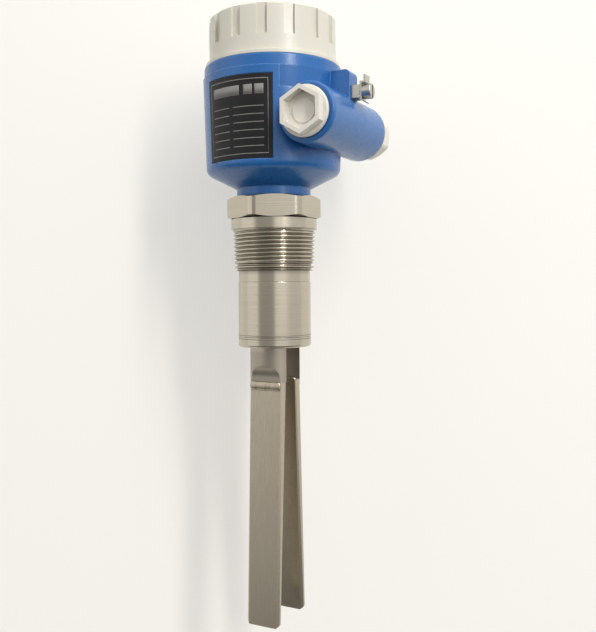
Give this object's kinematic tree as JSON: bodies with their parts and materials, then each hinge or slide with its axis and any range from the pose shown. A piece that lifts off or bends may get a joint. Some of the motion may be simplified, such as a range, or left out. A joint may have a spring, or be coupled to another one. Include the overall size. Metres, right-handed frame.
{
  "type": "vibrating fork level switch",
  "caption": "Point level switch for bulk solids: cast wiring head with screw cover and cable tunnel, hexagon with taper pipe thread, neck tube and a vibrating fork of welded blades.",
  "frame": {"origin": "on the main axis, at the shoulder where the taper thread starts under the hexagon's collar", "axes": "+Z along the main axis up to the wiring head, -Y to the front entry plug and the front blade, +X to the cable tunnel's side"},
  "size_m": [0.105, 0.1052, 0.3538],
  "materials": {
    "steel": "turned and drawn stainless steel, satin",
    "plated_steel": "plated steel, fine",
    "blue_coat": "blue powder coat, semi-gloss",
    "pale_plastic": "pale grey moulded surface, satin",
    "black_plate": "black plate, satin",
    "rubber": "black rubber",
    "insert_plastic": "dark grey moulded plastic",
    "terminal_plastic": "green moulded plastic",
    "slider_plastic": "white moulded plastic",
    "board": "green lacquered board",
    "piezo": "fired ceramic",
    "contact_brass": "brass sheet",
    "lead": "red insulation",
    "green_lens": "clear tinted lens",
    "yellow_lens": "clear tinted lens"
  },
  "bodies": {
    "process": {"process_adapter": "steel", "stem_seal": "rubber", "lock_nut": "plated_steel", "neck_tube": "steel", "fork_head": "steel", "front_blade": "steel", "rear_blade": "steel", "drive_cup": "plated_steel", "piezo_rings": "piezo", "contact_sheets": "contact_brass", "insulator_rings": "piezo", "drive_nut": "plated_steel", "drive_stud": "plated_steel", "sensor_lead": "lead", "lead_guide": "insert_plastic"},
    "head": {"housing": "blue_coat", "nameplate": "black_plate", "gland_body": "pale_plastic", "gland_gasket": "rubber", "earth_block": "plated_steel", "earth_clip": "plated_steel", "earth_washer": "plated_steel", "earth_screw": "plated_steel", "insert_cup": "insert_plastic", "circuit_board": "board", "insert_lid": "insert_plastic", "insert_screws": "plated_steel", "terminal_block": "terminal_plastic", "terminal_screws": "plated_steel", "switch_frame": "insert_plastic", "green_lamp": "green_lens", "yellow_lamp": "yellow_lens"},
    "cover_ring": {"cover_seal": "rubber"},
    "cover": {"cover": "pale_plastic"},
    "plug_ring": {"front_gasket": "rubber"},
    "plug": {"front_plug": "pale_plastic"},
    "gland_ring": {"gland_bush": "rubber"},
    "gland_cap": {"gland_nut": "pale_plastic"},
    "fail_safe": {"fail_safe_slider": "slider_plastic"},
    "sensitivity": {"sensitivity_slider": "slider_plastic"}
  },
  "joints": [
    {"name": "housing_turn", "type": "hinge", "parent": "process", "child": "head", "pos_m": [0, 0, 0.0193], "axis": [0, 0, 1], "range_deg": [-135, 135]},
    {"name": "cover_turn", "type": "hinge", "parent": "head", "child": "cover_ring", "pos_m": [0, 0, 0.0948], "axis": [0, 0, 1], "range_deg": [0, 1800]},
    {"name": "cover_lift", "type": "slide", "parent": "cover_ring", "child": "cover", "axis": [0, 0, 1], "range_m": [0, 0.01]},
    {"name": "front_plug_turn", "type": "hinge", "parent": "head", "child": "plug_ring", "pos_m": [0.0404, -0.0375, 0.0595], "axis": [0, -1, 0], "range_deg": [0, 1800]},
    {"name": "front_plug_travel", "type": "slide", "parent": "plug_ring", "child": "plug", "axis": [0, -1, 0], "range_m": [0, 0.0075]},
    {"name": "gland_nut_turn", "type": "hinge", "parent": "head", "child": "gland_ring", "pos_m": [0.0404, 0.0375, 0.0595], "axis": [0, 1, 0], "range_deg": [0, 1080]},
    {"name": "gland_nut_travel", "type": "slide", "parent": "gland_ring", "child": "gland_cap", "axis": [0, 1, 0], "range_m": [0, 0.0045]},
    {"name": "fail_safe_slide", "type": "slide", "parent": "head", "child": "fail_safe", "axis": [0, 1, 0], "range_m": [0, 0.002]},
    {"name": "sensitivity_slide", "type": "slide", "parent": "head", "child": "sensitivity", "axis": [0, 1, 0], "range_m": [0, 0.002]}
  ],
  "couplings": [
    {"joint": "cover_lift", "follows": "cover_turn", "m_per_rad": 0.000318},
    {"joint": "front_plug_travel", "follows": "front_plug_turn", "m_per_rad": 0.0002387},
    {"joint": "gland_nut_travel", "follows": "gland_nut_turn", "m_per_rad": 0.0002387}
  ]
}
